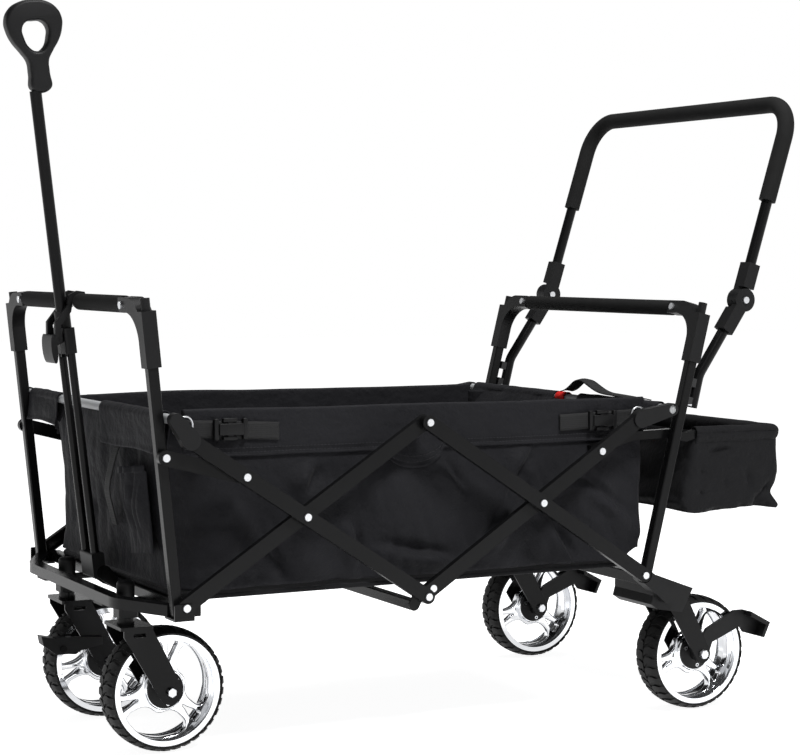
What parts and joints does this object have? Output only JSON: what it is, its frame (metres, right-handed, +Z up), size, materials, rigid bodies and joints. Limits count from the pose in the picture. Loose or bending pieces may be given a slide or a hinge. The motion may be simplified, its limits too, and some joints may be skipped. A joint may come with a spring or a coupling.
{
  "type": "folding pull wagon",
  "caption": "Folding fabric-tub wagon with a telescopic pull handle, a hinged push bar, a rear basket, scissor side arms and spoked wheels on swivel casters",
  "frame": {"origin": "centre of the bounding box in plan, on the ground under the wheels", "axes": "+X to the rear, from the pull handle to the push bar; +Y to the far side; +Z up"},
  "size_m": [1.278, 0.6682, 1.1266],
  "materials": {
    "frame_black": "black powder coat, satin",
    "rim_grey": "light grey painted tube",
    "plastic_black": "moulded black plastic, fine grain",
    "steel_bright": "zinc plated fasteners",
    "chrome_rim": "plated wheel rim",
    "tyre_black": "black moulded tyre",
    "foam_black": "closed cell foam sleeve",
    "fabric_dark": "woven polyester, bluish black"
  },
  "bodies": {
    "front_frame": {"front_uprights": "frame_black", "front_base_frame": "frame_black", "front_crossbar_sleeve": "foam_black", "front_corner_brackets": "plastic_black", "caster_heads": "plastic_black", "handle_yoke": "frame_black", "front_fasteners": "steel_bright", "tub_front_panel": "fabric_dark", "tub_walls": "fabric_dark", "tub_floor": "fabric_dark"},
    "inner_front_arms": {"front_inner_arms": "frame_black", "front_inner_rivets": "steel_bright"},
    "outer_front_arms": {"front_outer_arms": "frame_black", "front_outer_rivets": "steel_bright", "front_rim_tube": "rim_grey", "front_rim_corners": "plastic_black"},
    "outer_rear_arms": {"rear_outer_arms": "frame_black", "rear_outer_rivets": "steel_bright"},
    "inner_rear_arms": {"rear_inner_arms": "frame_black", "rear_inner_rivets": "steel_bright", "rear_rim_tube": "rim_grey", "rear_rim_corners": "plastic_black"},
    "rear_frame": {"rear_uprights": "frame_black", "rear_base_tube": "frame_black", "rear_crossbar_sleeve": "foam_black", "rear_corner_brackets": "plastic_black", "rear_feet": "plastic_black", "rear_forks": "frame_black", "rear_fasteners": "steel_bright", "push_lower_tubes": "frame_black", "elbow_lower": "plastic_black"},
    "front_links": {"front_links": "frame_black"},
    "basket": {"basket_frame": "frame_black", "basket_bag": "fabric_dark"},
    "push_handle": {"elbow_upper": "plastic_black", "push_bar": "frame_black", "push_grip": "foam_black"},
    "pull_handle": {"handle_pivot_block": "plastic_black", "handle_twin_tubes": "frame_black", "handle_collar": "plastic_black"},
    "pull_grip": {"pull_tube": "frame_black", "d_grip": "plastic_black"},
    "latch": {"handle_latch": "plastic_black"},
    "caster_near": {"front_fork_near": "frame_black"},
    "caster_far": {"front_fork_far": "frame_black"},
    "caster_pedal": {"caster_pedal": "plastic_black"},
    "brake_pedal_near": {"brake_pedal_near": "plastic_black"},
    "brake_pedal_far": {"brake_pedal_far": "plastic_black"},
    "wheel_front_near": {"tyre_front_near": "tyre_black", "rim_front_near": "chrome_rim", "hub_front_near": "plastic_black"},
    "wheel_front_far": {"tyre_front_far": "tyre_black", "rim_front_far": "chrome_rim", "hub_front_far": "plastic_black"},
    "wheel_rear_near": {"tyre_rear_near": "tyre_black", "rim_rear_near": "chrome_rim", "hub_rear_near": "plastic_black"},
    "wheel_rear_far": {"tyre_rear_far": "tyre_black", "rim_rear_far": "chrome_rim", "hub_rear_far": "plastic_black"}
  },
  "joints": [
    {"name": "fold", "type": "hinge", "parent": "front_frame", "child": "inner_front_arms", "pos_m": [-0.46828, 0, 0.2475], "axis": [0, -1, 0], "range_deg": [0, 42], "deforming": ["tub_walls", "tub_floor", "basket_bag"]},
    {"name": "front_scissor", "type": "hinge", "parent": "inner_front_arms", "child": "outer_front_arms", "pos_m": [-0.28377, 0, 0.36732], "axis": [0, -1, 0], "range_deg": [-84, 0]},
    {"name": "top_apex", "type": "hinge", "parent": "inner_front_arms", "child": "outer_rear_arms", "pos_m": [-0.08249, 0, 0.49803], "axis": [0, -1, 0], "range_deg": [-84, 0]},
    {"name": "rear_scissor", "type": "hinge", "parent": "outer_rear_arms", "child": "inner_rear_arms", "pos_m": [0.11879, 0, 0.36732], "axis": [0, -1, 0], "range_deg": [0, 84]},
    {"name": "rear_foot_pivot", "type": "hinge", "parent": "outer_rear_arms", "child": "rear_frame", "pos_m": [0.31169, 0, 0.24205], "axis": [0, -1, 0], "range_deg": [0, 42]},
    {"name": "front_link_swing", "type": "hinge", "parent": "front_frame", "child": "front_links", "pos_m": [-0.4978, 0, 0.4605], "axis": [0, -1, 0], "range_deg": [0, 77.3]},
    {"name": "basket_drop", "type": "hinge", "parent": "rear_frame", "child": "basket", "pos_m": [0.38702, 0, 0.463], "axis": [0, -1, 0], "range_deg": [-61.21, 0]},
    {"name": "push_handle_fold", "type": "hinge", "parent": "rear_frame", "child": "push_handle", "pos_m": [0.52282, 0, 0.678], "axis": [0, -1, 0], "range_deg": [-20, 80]},
    {"name": "pull_handle_swing", "type": "hinge", "parent": "front_frame", "child": "pull_handle", "pos_m": [-0.48288, 0, 0.2584], "axis": [0, -1, 0], "range_deg": [0, 64]},
    {"name": "pull_handle_slide", "type": "slide", "parent": "pull_handle", "child": "pull_grip", "axis": [-0.1201, 0, 0.9928], "range_m": [-0.295, 0]},
    {"name": "latch_lift", "type": "hinge", "parent": "pull_handle", "child": "latch", "pos_m": [-0.54879, 0, 0.61708], "axis": [0, -1, 0], "range_deg": [0, 18], "stiffness_Nm_per_rad": 0.4, "springref_deg": -17.19},
    {"name": "caster_swivel_near", "type": "hinge", "parent": "front_frame", "child": "caster_near", "pos_m": [-0.48748, -0.132, 0.197], "axis": [0, 0, 1], "continuous": true},
    {"name": "caster_swivel_far", "type": "hinge", "parent": "front_frame", "child": "caster_far", "pos_m": [-0.48748, 0.132, 0.197], "axis": [0, 0, 1], "continuous": true},
    {"name": "wheel_spin_front_near", "type": "hinge", "parent": "caster_near", "child": "wheel_front_near", "pos_m": [-0.42998, -0.132, 0.095], "axis": [0, 1, 0], "continuous": true},
    {"name": "wheel_spin_front_far", "type": "hinge", "parent": "caster_far", "child": "wheel_front_far", "pos_m": [-0.42998, 0.132, 0.095], "axis": [0, 1, 0], "continuous": true},
    {"name": "wheel_spin_rear_near", "type": "hinge", "parent": "rear_frame", "child": "wheel_rear_near", "pos_m": [0.46102, -0.249, 0.095], "axis": [0, 1, 0], "continuous": true},
    {"name": "wheel_spin_rear_far", "type": "hinge", "parent": "rear_frame", "child": "wheel_rear_far", "pos_m": [0.46102, 0.249, 0.095], "axis": [0, 1, 0], "continuous": true},
    {"name": "caster_pedal_rock", "type": "hinge", "parent": "caster_far", "child": "caster_pedal", "pos_m": [-0.50998, 0.09, 0.123], "axis": [0, -1, 0], "range_deg": [0, 12]},
    {"name": "brake_pedal_near", "type": "hinge", "parent": "rear_frame", "child": "brake_pedal_near", "pos_m": [0.46102, -0.2813, 0.095], "axis": [0, 1, 0], "range_deg": [0, 20]},
    {"name": "brake_pedal_far", "type": "hinge", "parent": "rear_frame", "child": "brake_pedal_far", "pos_m": [0.46102, 0.2167, 0.095], "axis": [0, 1, 0], "range_deg": [0, 20]}
  ],
  "couplings": [
    {"joint": "front_scissor", "follows": "fold", "ratio": -2},
    {"joint": "top_apex", "follows": "fold", "ratio": -2},
    {"joint": "rear_scissor", "follows": "fold", "ratio": 2},
    {"joint": "rear_foot_pivot", "follows": "fold", "ratio": 1},
    {"joint": "front_link_swing", "follows": "fold", "ratio": 1.84},
    {"joint": "basket_drop", "follows": "fold", "ratio": -1.457}
  ]
}
